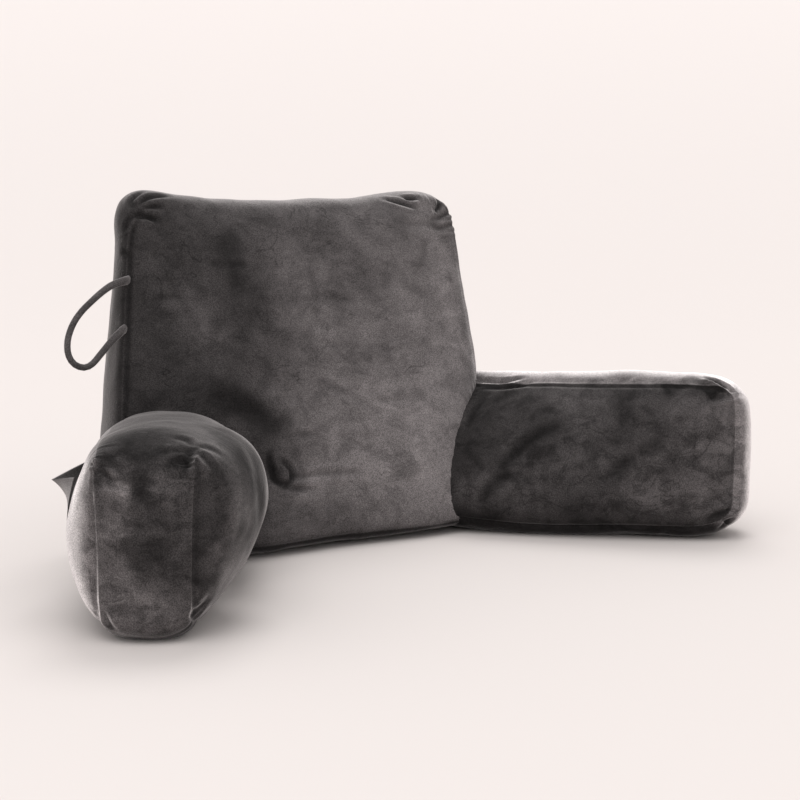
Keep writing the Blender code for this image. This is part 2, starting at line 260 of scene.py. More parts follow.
# Painted light in the pile attribute: shade for each metre of a fold's height, within limits, with a little
# highlight on its rims; shade in seams' grooves, a highlight on the strips' edges, and shade facing the
# floor
FOLD_PAINTED_SHADE = 260
FOLD_PAINTED_SHADE_LIMITS = (-0.9, 0.2)
SEAM_PAINTED_SHADE = 0.5
EDGE_PAINTED_HIGHLIGHT = 0.7
FOOT_PAINTED_SHADE = 0.5

# How far noise shakes the pile's marks, as (distance, size), and the radius from which a mark is soft
PILE_SHAKES = ((0.016, 0.045), (0.006, 0.014))
SOFT_MARK = 0.03

# Where an arm is sewn to the front panel, both are drawn in; how finely each is read for it
JOIN_DEPTH = 0.0035
JOIN_WIDTH = 0.012
JOIN_GRID = 90
JOIN_EVERY = 6

# The sweep: a floor that bends up into a wall, a little below the pillow, and its colours by height
SWEEP_RUN = (-4, 4.6)
SWEEP_BEND = 1.6
SWEEP_RADIUS = 3
SWEEP_HALF_WIDTH = 7
SWEEP_GRID = (104, 15)
SWEEP_GAP = 0.0002
FLOOR_COLOUR = (0.66, 0.622, 0.608)
WALL_COLOUR = (0.865, 0.820, 0.805)
WALL_FROM = 1.2

# The camera, which looks to the right of the pillow's middle line and down, in degrees
VIEW_TURN = -33.65
VIEW_DROP = 8.15
CAMERA_PLACE = (-1.1627, -1.7962, 0.5017)
LENS_MM = 76.5
SENSOR_MM = 36

# The light: soft air all round, and suns as (name, direction towards it, strength, spread in degrees)
AIR_COLOUR = (0.98, 0.955, 0.945, 1)
AIR_STRENGTH = 0.96
SUN_COLOUR = (1, 0.985, 0.97)
SUNS = (
    ("light from behind", (0.75, 0.85, 2.2), 0.95, 30),
    ("light from the front", (-0.8, -0.67, 2.5), 0.75, 40),
)

# How far a cushion's seams show, in relief and in their painted shade and highlight: upright ones on its
# left and right, level ones at its top and foot
SEAMS_SHOW = {
    "backrest": (1.0, 0.15, 0.0, 0.0),
    "arm_left": (0.5, 1.0, 0.05, 0.0),
    "arm_right": (1.0, 0.5, 0.6, 0.0),
}

# The tone of a cushion's back or outer panel, and of its strip's upright sides, top and underside: partly
# the pile's own lie, partly painted light, as on the left arm's pale outer side and the right arm's pale
# top, and painted shade on every underside
PANEL_PILE_AND_PAINTED_LIGHT = {
    "backrest": (0.0, -0.35, 0.0, -1.3),
    "arm_left": (0.4, 0.35, 0.0, -0.7),
    "arm_right": (0.2, 1.25, 2.35, -0.7),
}

# Tone marks as (shade, radius, start, end), negative darker and positive paler: some are the pile's own
# brushed marks, others painted light and shade
PILE_AND_PAINTED_LIGHT_MARKS = {
    # the front panel: painted shade at its left and beside the left arm, painted light to the right and low
    # down, and short crush marks of the pile
    "backrest": (
        (-0.55, 0.110, (-0.24, 0.09, 0.42), (-0.26, 0.03, 0.18)),
        (-0.35, 0.045, (-0.110, 0.07, 0.36), (-0.075, 0.06, 0.24)),
        (-0.60, 0.045, (-0.150, 0.022, 0.195), (-0.088, 0.001, 0.150)),
        (0.35, 0.045, (-0.165, 0.07, 0.33), (-0.150, 0.06, 0.28)),
        (1.05, 0.080, (0.214, 0.07, 0.31), (0.160, -0.008, 0.08)),
        (1.10, 0.105, (0.000, 0.014, 0.14), (0.120, 0.0, 0.08)),
        (0.60, 0.090, (0.01, 0.06, 0.34), (0.12, 0.04, 0.22)),
        (0.25, 0.040, (0.06, 0.10, 0.41), (0.20, 0.10, 0.40)),
        (-0.35, 0.018, (0.040, 0.07, 0.330), (0.052, 0.06, 0.290)),
        (-0.35, 0.012, (0.075, 0.04, 0.250), (0.110, 0.04, 0.246)),
        (-0.30, 0.012, (-0.030, 0.052, 0.272), (0.020, 0.045, 0.256)),
        (-0.35, 0.014, (0.017, 0.024, 0.190), (0.022, 0.010, 0.150)),
        (0.35, 0.030, (0.185, -0.02, 0.14), (0.180, -0.03, 0.04)),
        (-0.40, 0.030, (-0.102, 0.088, 0.385), (-0.125, 0.060, 0.295)),
        (-0.25, 0.055, (-0.060, 0.095, 0.375), (0.030, 0.080, 0.365)),
        (0.50, 0.031, (0.216, 0.100, 0.410), (0.226, 0.040, 0.220)),
        (-0.35, 0.036, (-0.095, 0.013, 0.168), (-0.114, 0.004, 0.135)),
        (0.25, 0.022, (-0.065, -0.004, 0.105), (-0.030, -0.008, 0.098)),
    ),
    # dark, with a paler slanting band towards its front end
    "arm_right": (
        (-0.65, 0.050, (0.255, 0.03, 0.19), (0.180, -0.03, 0.03)),
        (-0.40, 0.060, (0.245, -0.08, 0.15), (0.320, -0.15, 0.13)),
        (-0.30, 0.050, (0.200, -0.06, 0.06), (0.280, -0.13, 0.04)),
        (-0.30, 0.030, (0.290, -0.15, 0.030), (0.380, -0.22, 0.030)),
        (0.30, 0.035, (0.345, -0.21, 0.075), (0.420, -0.25, 0.150)),
        (0.20, 0.030, (0.396, -0.25, 0.060), (0.430, -0.26, 0.090)),
        (0.35, 0.012, (0.215, -0.05, 0.150), (0.235, -0.03, 0.185)),
        (-2.30, 0.022, (0.410, -0.205, 0.212), (0.434, -0.230, 0.204)),
        (0.45, 0.026, (0.440, -0.262, 0.170), (0.440, -0.262, 0.050)),
        (0.40, 0.035, (0.225, -0.045, 0.150), (0.235, -0.060, 0.110)),
    ),
    # its end with the pile's dark flames, painted shade on its inner side and top, and a painted sheen on
    # its outer side
    "arm_left": (
        (-0.65, 0.020, (-0.429, -0.288, 0.165), (-0.394, -0.308, 0.125)),
        (-0.55, 0.022, (-0.446, -0.273, 0.120), (-0.405, -0.30, 0.090)),
        (0.60, 0.014, (-0.417, -0.296, 0.165), (-0.405, -0.30, 0.140)),
        (0.50, 0.014, (-0.448, -0.273, 0.155), (-0.440, -0.275, 0.130)),
        (0.60, 0.030, (-0.434, -0.267, 0.030), (-0.380, -0.30, 0.040)),
        (0.50, 0.016, (-0.326, -0.307, 0.150), (-0.322, -0.31, 0.110)),
        (-0.30, 0.018, (-0.355, -0.310, 0.185), (-0.352, -0.310, 0.040)),
        (-0.70, 0.012, (-0.360, -0.300, 0.034), (-0.350, -0.296, 0.024)),
        (-0.70, 0.014, (-0.378, -0.302, 0.200), (-0.390, -0.298, 0.190)),
        (-0.90, 0.020, (-0.464, -0.252, 0.192), (-0.464, -0.255, 0.165)),
        (-1.00, 0.085, (-0.400, -0.23, 0.230), (-0.230, 0.00, 0.200)),
        (-1.60, 0.050, (-0.258, -0.235, 0.190), (-0.268, -0.258, 0.150)),
        (0.45, 0.035, (-0.325, -0.300, 0.155), (-0.322, -0.300, 0.090)),
        (2.40, 0.058, (-0.492, -0.220, 0.150), (-0.480, -0.230, 0.050)),
    ),
}

# A fold: the steps of its line, its depth at its ends, and the height and place, in widths, of its soft rim
FOLD_STEPS = 24
FOLD_END = 0.2
FOLD_RIM = 0.28
FOLD_RIM_AT = 2.1

# Folds as (depth, width, place, place and so on along it), a ridge where the depth is negative
BACKREST_FOLDS = (
    # the hook beside the left arm, the creases that run from it, and the soft fold above it
    (0.0050, 0.0042, (-0.103, 0.005, 0.128), (-0.104, 0.004, 0.115), (-0.101, -0.002, 0.100),
        (-0.091, -0.007, 0.091)),
    (0.0034, 0.0036, (-0.088, 0.003, 0.121), (-0.079, -0.002, 0.110), (-0.078, -0.005, 0.097),
        (-0.089, -0.007, 0.091)),
    (0.0026, 0.0042, (-0.092, -0.008, 0.090), (-0.067, -0.010, 0.083), (-0.042, -0.011, 0.078)),
    (0.0020, 0.0040, (-0.082, -0.005, 0.095), (-0.053, -0.005, 0.100), (-0.022, -0.005, 0.100),
        (0.022, -0.007, 0.097)),
    (0.0014, 0.0040, (-0.060, 0.011, 0.150), (-0.035, 0.011, 0.150)),
    (-0.0022, 0.0045, (-0.095, 0.003, 0.117), (-0.090, -0.001, 0.106), (-0.089, -0.005, 0.098)),
    (0.0030, 0.0150, (-0.174, 0.035, 0.208), (-0.139, 0.029, 0.196), (-0.106, 0.021, 0.178),
        (-0.081, 0.013, 0.156)),
    # the top left corner
    (0.0055, 0.0042, (-0.229, 0.123, 0.430), (-0.215, 0.120, 0.428), (-0.200, 0.116, 0.423)),
    (0.0032, 0.0036, (-0.224, 0.124, 0.435), (-0.209, 0.125, 0.439), (-0.189, 0.125, 0.440)),
    (0.0036, 0.0038, (-0.226, 0.128, 0.439), (-0.212, 0.132, 0.447), (-0.196, 0.136, 0.451),
        (-0.174, 0.141, 0.452)),
    (0.0030, 0.0042, (-0.230, 0.130, 0.439), (-0.222, 0.139, 0.449), (-0.207, 0.149, 0.456)),
    (0.0025, 0.0042, (-0.233, 0.125, 0.429), (-0.238, 0.123, 0.421), (-0.244, 0.125, 0.411)),
    # the top right corner
    (0.0050, 0.0042, (0.185, 0.134, 0.445), (0.194, 0.131, 0.444), (0.207, 0.131, 0.445)),
    (0.0035, 0.0042, (0.156, 0.134, 0.442), (0.174, 0.126, 0.438), (0.196, 0.121, 0.431)),
    (0.0045, 0.0042, (0.244, 0.136, 0.442), (0.240, 0.127, 0.434), (0.229, 0.118, 0.425)),
    (0.0030, 0.0042, (0.251, 0.128, 0.424), (0.234, 0.115, 0.417), (0.217, 0.111, 0.413)),
    (0.0020, 0.0042, (0.256, 0.122, 0.407), (0.239, 0.111, 0.404), (0.221, 0.107, 0.402)),
    # soft creases across the front panel and tucks in the strip at its left
    (0.0010, 0.0042, (-0.012, 0.033, 0.216), (0.019, 0.025, 0.195), (0.054, 0.019, 0.181)),
    (0.0010, 0.0042, (0.065, 0.020, 0.181), (0.102, 0.019, 0.184), (0.126, 0.019, 0.187)),
    (0.0009, 0.0042, (-0.004, 0.010, 0.147), (0.019, 0.004, 0.134), (0.038, -0.001, 0.121)),
    (0.0009, 0.0045, (-0.150, 0.088, 0.370), (-0.122, 0.084, 0.365), (-0.088, 0.083, 0.364)),
    (0.0009, 0.0045, (-0.023, 0.065, 0.318), (0.023, 0.066, 0.321), (0.061, 0.063, 0.311)),
    (0.0009, 0.0045, (-0.229, 0.082, 0.324), (-0.201, 0.078, 0.328), (-0.171, 0.072, 0.321)),
    (0.0014, 0.0060, (0.194, 0.097, 0.385), (0.191, 0.090, 0.368), (0.182, 0.082, 0.350)),
    (0.0012, 0.0050, (0.164, 0.105, 0.408), (0.199, 0.107, 0.409), (0.235, 0.110, 0.403)),
    (0.0012, 0.0045, (-0.031, 0.052, 0.275), (-0.004, 0.048, 0.264), (0.030, 0.044, 0.253)),
    (0.0012, 0.0050, (0.017, 0.023, 0.189), (0.021, 0.014, 0.163), (0.021, 0.005, 0.138)),
    (0.0012, 0.0040, (0.084, 0.043, 0.253), (0.104, 0.041, 0.245), (0.127, 0.043, 0.249)),
    (0.0030, 0.0042, (-0.250, 0.124, 0.384), (-0.249, 0.112, 0.382), (-0.244, 0.107, 0.379)),
    (0.0025, 0.0042, (-0.267, 0.100, 0.287), (-0.266, 0.087, 0.287), (-0.263, 0.083, 0.287)),
)
ARM_FOLDS = {
    "arm_left": (
        # the hollow and the gathers at the top of its inner seam
        (0.0055, 0.0100, (-0.376, -0.302, 0.199), (-0.383, -0.303, 0.194)),
        (0.0019, 0.0044, (-0.363, -0.296, 0.204), (-0.374, -0.298, 0.200), (-0.388, -0.297, 0.193)),
        (0.0019, 0.0046, (-0.360, -0.293, 0.206), (-0.371, -0.290, 0.205), (-0.390, -0.283, 0.203)),
        (0.0020, 0.0044, (-0.364, -0.297, 0.204), (-0.373, -0.306, 0.194), (-0.380, -0.308, 0.178)),
        (0.0016, 0.0050, (-0.358, -0.288, 0.207), (-0.357, -0.274, 0.212), (-0.368, -0.262, 0.215)),
        (0.0016, 0.0050, (-0.360, -0.299, 0.203), (-0.354, -0.305, 0.198), (-0.346, -0.311, 0.183)),
        (0.0012, 0.0053, (-0.356, -0.293, 0.206), (-0.342, -0.289, 0.204), (-0.324, -0.291, 0.196)),
        # the same at its outer seam
        (0.0044, 0.0105, (-0.449, -0.266, 0.180), (-0.444, -0.268, 0.184)),
        (0.0020, 0.0044, (-0.456, -0.262, 0.172), (-0.451, -0.262, 0.185), (-0.440, -0.264, 0.192),
            (-0.430, -0.274, 0.184)),
        (0.0017, 0.0044, (-0.456, -0.262, 0.170), (-0.449, -0.266, 0.177), (-0.438, -0.274, 0.174)),
        (0.0017, 0.0046, (-0.457, -0.261, 0.177), (-0.454, -0.260, 0.188), (-0.442, -0.258, 0.198),
            (-0.426, -0.262, 0.203)),
        # tucks at both ends of its foot, and soft creases in its end
        (0.0020, 0.0070, (-0.366, -0.302, 0.023), (-0.354, -0.299, 0.031), (-0.341, -0.296, 0.042)),
        (0.0030, 0.0050, (-0.438, -0.253, 0.011), (-0.444, -0.253, 0.022), (-0.447, -0.253, 0.038)),
        (0.0014, 0.0060, (-0.424, -0.286, 0.163), (-0.410, -0.297, 0.150), (-0.399, -0.304, 0.130)),
        (0.0012, 0.0060, (-0.438, -0.277, 0.111), (-0.431, -0.281, 0.102), (-0.426, -0.282, 0.081)),
        # the crease between its two lobes
        (0.0014, 0.0130, (-0.215, -0.120, 0.188), (-0.258, -0.215, 0.188), (-0.270, -0.258, 0.164),
            (-0.264, -0.260, 0.135), (-0.253, -0.244, 0.096)),
    ),
    "arm_right": (
        # wrinkles where its top meets the backrest
        (0.0030, 0.0042, (0.255, 0.046, 0.195), (0.270, 0.020, 0.193), (0.291, 0.002, 0.197)),
        (0.0024, 0.0042, (0.250, 0.032, 0.188), (0.267, 0.005, 0.187), (0.293, -0.020, 0.193)),
        # the gathers at its front end, above and below
        (-0.0026, 0.0046, (0.426, -0.214, 0.206), (0.432, -0.233, 0.200), (0.438, -0.250, 0.191)),
        (0.0045, 0.0042, (0.436, -0.213, 0.205), (0.440, -0.235, 0.201), (0.443, -0.250, 0.194)),
        (0.0032, 0.0042, (0.452, -0.247, 0.192), (0.432, -0.247, 0.189), (0.414, -0.235, 0.187)),
        (0.0024, 0.0042, (0.405, -0.250, 0.029), (0.420, -0.260, 0.038), (0.438, -0.266, 0.044)),
        (0.0030, 0.0042, (0.441, -0.267, 0.030), (0.434, -0.264, 0.021), (0.432, -0.255, 0.013)),
        # soft slanting folds in its inner panel
        (0.0024, 0.0080, (0.205, -0.067, 0.089), (0.244, -0.081, 0.126), (0.279, -0.103, 0.146)),
        (0.0022, 0.0070, (0.180, -0.055, 0.048), (0.201, -0.071, 0.075), (0.225, -0.090, 0.089)),
        (0.0022, 0.0060, (0.199, -0.001, 0.136), (0.219, 0.010, 0.159), (0.240, 0.014, 0.175)),
        (0.0016, 0.0090, (0.296, -0.165, 0.082), (0.336, -0.196, 0.115), (0.377, -0.219, 0.155)),
    ),
}


def lerp(a, b, t):
    """The value that is the share t of the way from a to b."""
    return a + (b - a) * t


def crown(t, flatness, fullness):
    """A padded section across -1 to 1: 1 in the middle, 0 at the seams, steeper there as fullness falls."""
    return np.clip(1 - np.abs(t) ** flatness, 0, 1) ** fullness


def spread_to_edges(count):
    """count + 1 values from -1 to 1 that crowd a little towards both ends, where the padding curves most."""
    even = np.linspace(-1, 1, count + 1)
    return (1 - EDGE_CROWDING) * even + EDGE_CROWDING * np.sin(even * math.pi / 2)


def round_corners(p, q, inset_p, inset_q, sharpness):
    """Pulls the four corners of the square -1 to 1 inwards, and leaves the middles of its sides."""
    return p * (1 - inset_p * np.abs(q) ** sharpness), q * (1 - inset_q * np.abs(p) ** sharpness)


def ring_normals(front_seam, back_seam):
    """The way out of a strip, across its seams' direction and the way from the front to the back panel."""
    along = np.roll(front_seam + back_seam, -1, 0) - np.roll(front_seam + back_seam, 1, 0)
    normal = np.cross(along, back_seam - front_seam)
    normal /= np.linalg.norm(normal, axis=1)[:, None]
    outward = np.sum(normal * (front_seam - front_seam.mean(0)), axis=1).mean()
    return normal * np.sign(outward)


def smooth_noise(points, size, seed):
    """Smooth noise of about -1 to 1: random values on a cubic lattice of this size, blended between them."""
    table = np.random.default_rng(seed).uniform(-1, 1, (NOISE_CELLS,) * 3)
    place = points / size + 1000
    node = np.floor(place).astype(int)
    t = place - node
    t = t * t * (3 - 2 * t)
    total = np.zeros(len(points))
    for step in np.ndindex(2, 2, 2):
        corner = (node + step) % NOISE_CELLS
        weight = np.prod(np.where(step, t, 1 - t), axis=1)
        total += weight * table[corner[:, 0], corner[:, 1], corner[:, 2]]
    return total * NOISE_GAIN


def grid_faces(index):
    """The four-sided faces of a grid, from the numbers of its points."""
    return np.stack([index[:-1, :-1], index[1:, :-1], index[1:, 1:], index[:-1, 1:]], -1).reshape(-1, 4)


def grid_rim(index):
    """The numbers of the points round a grid's edge, in order."""
    return np.concatenate([index[:-1, 0], index[-1, :-1], index[:0:-1, -1], index[0, :0:-1]])


def summed(vectors, to, count):
    """For each number below count, the sum of the vectors that go to it."""
    return np.stack([np.bincount(to, vectors[:, i], count) for i in range(3)], -1)


def lengths_along(line):
    """How far along a line of points each of them lies."""
    return np.concatenate([[0], np.cumsum(np.linalg.norm(np.diff(line, axis=0), axis=1))])


def read_line(at, along, line):
    """The places at some lengths along a line, whose points lie at the lengths along."""
    return np.stack([np.interp(at, along, line[:, i]) for i in range(3)], -1)


def vertex_normals(points, faces):
    """The way out at each point: the mean of the crosses of its faces' diagonals."""
    cross = np.cross(points[faces[:, 2]] - points[faces[:, 0]], points[faces[:, 3]] - points[faces[:, 1]])
    normal = sum(summed(cross, faces[:, k], len(points)) for k in range(4))
    return normal / np.maximum(np.linalg.norm(normal, axis=1), 1e-12)[:, None]


def taut(points, faces, share, rounds):
    """The points evened out: in each round, each moves by its share towards the mean of those round it."""
    pairs = np.concatenate([faces[:, [0, 1]], faces[:, [1, 2]], faces[:, [2, 3]], faces[:, [3, 0]]])
    pairs = np.concatenate([pairs, pairs[:, ::-1]])
    moving = np.flatnonzero(share > TAUT_LEAST)
    order = np.full(len(points), -1)
    order[moving] = np.arange(len(moving))
    pairs = pairs[order[pairs[:, 0]] >= 0]
    to, source = order[pairs[:, 0]], pairs[:, 1]
    count = np.bincount(to, minlength=len(moving))[:, None]
    points = points.copy()
    for _ in range(rounds):
        mean = summed(points[source], to, len(moving)) / count
        points[moving] += (mean - points[moving]) * (share[moving] * TAUT_STEP)[:, None]
    return points


def taut_share(points, faces, seams, above, held):
    """1 at the top seams, fading to 0 away from them, below a height, on upright cloth and where held."""
    share = np.zeros(len(points))
    for seam in seams:
        distance, _ = near_line(points, points[seam], TAUT_WIDTH * 2.2, closed=True)
        share = np.maximum(share, np.exp(-((distance / TAUT_WIDTH) ** 2)))
    for place in held:
        share *= 1 - np.exp(-np.sum((points - place) ** 2, axis=1) / HELD_RADIUS**2)
    facing_up = np.clip(vertex_normals(points, faces)[:, 2] * 1.8 + 0.1, 0.1, 1)
    return share * facing_up * np.clip((points[:, 2] - above) / TAUT_FADE, 0, 1)


def near_line(points, line, reach, closed=False):
    """For each point, its distance from a line of points and how far along the line its nearest place is.

    Points farther than reach from the line get ten times reach as their distance, which counts as far away.
    """
    after = np.roll(line, -1, 0) if closed else np.concatenate([line[1:], line[-1:] * 2 - line[-2:-1]])
    step = after - line
    length = np.linalg.norm(step, axis=1)
    start = np.concatenate([[0], np.cumsum(length)[:-1]])
    distance, along = np.full(len(points), reach * 10), np.zeros(len(points))
    low, high = line.min(0) - reach, line.max(0) + reach
    close = np.flatnonzero(np.all((points > low) & (points < high), axis=1))
    for part in np.array_split(close, max(1, len(close) * len(line) // PAIRS_AT_ONCE + 1)):
        gap = points[part][:, None] - line[None]
        nearest = np.argmin(np.sum(gap * gap, axis=2), axis=1)
        off = points[part] - line[nearest]
        ahead = np.sum(off * step[nearest], axis=1) / np.maximum(length[nearest], 1e-9)
        ahead = np.clip(ahead, -length[nearest], length[nearest])
        side = off - step[nearest] * (ahead / np.maximum(length[nearest], 1e-9))[:, None]
        distance[part] = np.linalg.norm(side, axis=1)
        along[part] = start[nearest] + ahead
    return distance, along


def wave_along(along, length, wave, seed):
    """A smooth random wave of about -1 to 1 along a closed seam, mostly of the given wavelength."""
    rng = np.random.default_rng(seed)
    fewest, most = (round(share * length / wave) for share in GATHER_WAVES)
    turns = np.arange(max(1, fewest), most + 2)
    phase, size = rng.uniform(0, 2 * math.pi, len(turns)), rng.uniform(0.4, 1, len(turns))
    angle = 2 * math.pi * along[:, None] * turns[None] / length + phase[None]
    return (np.cos(angle) * size[None]).sum(1) / math.sqrt((size**2).sum()) * 1.1


def seam_shares(seam, left, right, top, foot):
    """For each point of a closed seam, left or right where it is upright, top or foot where it is level."""
    step = np.roll(seam, -1, 0) - np.roll(seam, 1, 0)
    upright = np.clip(np.abs(step[:, 2]) / np.linalg.norm(step, axis=1) * 2 - 0.6, 0, 1)
    middle = (seam.min(0) + seam.max(0)) / 2
    level = np.where(seam[:, 2] > middle[2], top, foot)
    return lerp(level, np.where(seam[:, 0] < middle[0], left, right), upright)


def seam_relief(points, seam, in_strip, corners, shares, seed):
    """The height of the cloth beside a seam, and where its groove and the strip's edge lie, from 0 to 1: the
    masks for painted shade in the groove and a painted highlight on the edge.

    The seam is a low ridge with a groove on the panel's side, which show by each seam point's share. The
    gathers are a wave along the seam with sharp valleys, which comes and goes and fades away from it. Each
    of corners is (place, radius, height) and gathers the cloth more.
    """
    seam = points[seam]
    distance, along = near_line(points, seam, SEAM_REACH, closed=True)
    step = np.roll(seam, -1, 0) - seam
    size = np.linalg.norm(step, axis=1)
    length, start = size.sum(), np.cumsum(size) - size
    shows = np.interp(along, start, shares, period=length)
    cluster = np.clip(smooth_noise(points, CLUSTER_SIZE, seed + CLUSTER_SEED) + CLUSTER_SHARE, 0, 1)
    height, reach = GATHER_HEIGHT * cluster, np.full(len(points), GATHER_REACH)
    for place, radius, gain in corners:
        near = np.exp(-np.sum((points - place) ** 2, axis=1) / radius**2)
        height += gain * near
        reach += GATHER_REACH * CORNER_REACH * near
    wave = wave_along(along, length, GATHER_WAVE, seed)
    billow = 1.6 * np.sqrt(wave**2 + 0.01) - 1
    fade = np.exp(-distance / reach) * (1 - np.exp(-distance / GATHER_START))
    ridge = RIDGE_HEIGHT * np.exp(-((distance / SEAM_WIDTH) ** 2))
    groove = np.exp(-(((distance - GROOVE_AT) / GROOVE_WIDTH) ** 2)) * ~in_strip
    # where the highlight along the strip's edge is painted
    line = np.exp(-((distance / SEAM_PAINTED_HIGHLIGHT_WIDTH) ** 2)) * in_strip
    return shows * (ridge - GROOVE_DEPTH * groove) + height * billow * fade, shows * groove, shows * line


def filling_lumps(points, seed):
    """The unevenness of the filling under the cloth: noise of three sizes."""
    return sum(height * smooth_noise(points, size, seed + i) for i, (size, height) in enumerate(LUMPS))


def fold_relief(points, folds):
    """The height of named folds, each (depth, width, places): a valley with a soft rim round a smooth line.

    The line runs through the points of the cloth nearest to the places, and the fold fades at both its ends.
    """
    total = np.zeros(len(points))
    for depth, width, *places in folds:
        nearest = [np.argmin(np.sum((points - place) ** 2, axis=1)) for place in places]
        line = smooth_line(points[nearest], FOLD_STEPS)
        distance, along = near_line(points, line, max(width * 5, 0.012))
        length = np.linalg.norm(np.diff(line, axis=0), axis=1).sum()
        taper = lerp(FOLD_END, 1, crown(np.clip(2 * along / length - 1, -1, 1), 2, 0.5))
        rim = FOLD_RIM * np.exp(-((distance / width - FOLD_RIM_AT) ** 2))
        total -= depth * (np.exp(-((distance / width) ** 2)) - rim) * taper
    return total


def marks_of_pile_and_painted_light(points, marks, seed):
    """The tone at each point, dark below 0 and pale above it: uneven marks, each round a line. Some are the
    pile's own lie, others painted light and shade.

    Each of marks is (shade, radius, start, end). Noise shakes the places first, which makes ragged edges.
    """
    shaken = points.copy()
    for turn, (distance, size) in enumerate(PILE_SHAKES):
        draws = [smooth_noise(points, size, seed + 3 * turn + i) for i in range(3)]
        shaken += distance * np.stack(draws, -1)
    total = np.zeros(len(points))
    for shade, radius, start, end in marks:
        start, run = np.array(start), np.array(end) - np.array(start)
        share = np.clip((shaken - start) @ run / max(run @ run, 1e-9), 0, 1)
        gap = np.linalg.norm(shaken - start - share[:, None] * run, axis=1)
        total += shade * np.exp(-((gap / radius) ** (2 if radius > SOFT_MARK else 4)))
    return total


def nearness(points, others, width):
    """1 where a point lies on one of the other points, fading to 0 with distance over the width."""
    result = np.zeros(len(points))
    low, high = others.min(0) - width * 4, others.max(0) + width * 4
    close = np.flatnonzero(np.all((points > low) & (points < high), axis=1))
    for part in np.array_split(close, max(1, len(close) * len(others) // PAIRS_AT_ONCE + 1)):
        square = np.sum(points[part] ** 2, 1)[:, None] + np.sum(others**2, 1)[None]
        square = square - 2 * points[part] @ others.T
        result[part] = np.exp(-np.sqrt(np.maximum(square.min(1), 0)) / width)
    return result


def softened(ring, width):
    """The closed ring of points with rounded corners: each is a mean of those within about the width."""
    closed = np.concatenate([ring, ring[:1]])
    along = lengths_along(closed)
    even = np.linspace(0, along[-1], RING_STEPS + 1)
    rows = read_line(even[:-1], along, closed)
    keep = np.exp(-2 * (math.pi * width * np.fft.rfftfreq(RING_STEPS, along[-1] / RING_STEPS)) ** 2)
    rows = np.fft.irfft(np.fft.rfft(rows, axis=0) * keep[:, None], RING_STEPS, axis=0)
    return read_line(along[:-1], even, np.concatenate([rows, rows[:1]]))


def boxed_cushion(front, back, strip_crown, rounding, across, up, deep):
    """The points and faces of a cushion from its panels, front(p, q) and back(p, q) over the square -1 to 1.

    The strip runs from one outline to the other. Between them its upper corners are rounded by rounding,
    which is (width, height), and it swells by strip_crown(p, normal) at its middle. Also gives which points
    are the two seams, and which belong to the strip.
    """
    rows, columns = spread_to_edges(across), spread_to_edges(up)
    p, q = np.meshgrid(rows, columns, indexing="ij")
    index = np.arange(p.size).reshape(p.shape)
    ring = grid_rim(index)
    front_points, back_points = front(p, q).reshape(-1, 3), back(p, q).reshape(-1, 3)
    front_seam, back_seam = front_points[ring], back_points[ring]
    width, height = rounding
    upper = np.clip((front_seam[:, 2] - height) / ROUNDING_FADE, 0, 1)[:, None]
    front_soft = lerp(front_seam, softened(front_seam, width), upper)
    back_soft = lerp(back_seam, softened(back_seam, width), upper)
    normal = ring_normals(front_soft, back_soft)
    share = ((1 - np.cos(np.linspace(0, math.pi, deep + 1))[1:-1]) / 2)[None, :, None]
    puff = crown(2 * share - 1, 2, 0.5)
    sharp = lerp(front_seam[:, None], back_seam[:, None], share)
    soft = lerp(front_soft[:, None], back_soft[:, None], share)
    swell = puff * strip_crown(p.reshape(-1)[ring], normal)[:, None, None]
    strip = lerp(sharp, soft, puff) + normal[:, None] * swell
    points = np.concatenate([front_points, back_points, strip.reshape(-1, 3)])
    between = 2 * p.size + np.arange(strip[..., 0].size).reshape(len(ring), -1)
    ladder = np.concatenate([ring[:, None], between, p.size + ring[:, None]], axis=1)
    after = np.roll(ladder, -1, 0)
    panel = grid_faces(index)
    band = np.stack([ladder[:, :-1], ladder[:, 1:], after[:, 1:], after[:, :-1]], -1).reshape(-1, 4)
    faces = np.concatenate([panel, p.size + panel[:, ::-1], band])
    return points, outward_faces(points, faces), (ring, p.size + ring), np.arange(len(points)) >= 2 * p.size


def outward_faces(points, faces):
    """The faces, all turned round if the volume that they enclose is negative."""
    a, b, c, d = (points[faces[:, i]] for i in range(4))
    volume = np.sum(np.cross(a, b) * c + np.cross(a, c) * d)
    return faces if volume > 0 else faces[:, ::-1]


def backrest_panel(p, q, widths, top_z, foot_y, top_y):
    """A leaning trapezoid with rounded corners; its top seam dips in the middle."""
    inset = np.where(p < 0, *BACKREST_CORNER)
    p, q = round_corners(p, q, inset, inset, CORNER_SHARPNESS)
    rise = (q + 1) / 2
    left = lerp(widths["foot_left"], widths["top_left"], rise)
    right = lerp(widths["foot_right"], widths["top_right"], rise)
    x = p * np.where(p < 0, left, right)
    y = lerp(foot_y, top_y, rise)
    z = lerp(FOOT_SEAM_Z, top_z, rise) - TOP_SEAM_DIP * rise**6 * (1 - p * p)
    return np.stack([x, y, z], -1), rise


def backrest_front(p, q):
    """The front panel: crowned, bowed forwards at its foot, and drawn in at a pucker beside the left arm."""
    points, rise = backrest_panel(p, q, FRONT_HALF_WIDTHS, FRONT_TOP_Z, FRONT_FOOT_Y, FRONT_TOP_Y)
    swell = FRONT_CROWN * crown(p, *ACROSS_SECTION) * crown(q, *UP_SECTION)
    foot = (1 - rise) ** 2 * (FOOT_BOW * crown(p, 4, 1) + FOOT_TURN * np.clip(p, 0, 0.7))
    away = ((p - PUCKER_AT[0]) / PUCKER_SIZE[0]) ** 2 + ((q - PUCKER_AT[1]) / PUCKER_SIZE[1]) ** 2
    points[..., 1] += PUCKER_DEPTH * np.exp(-away) - swell - foot
    return points


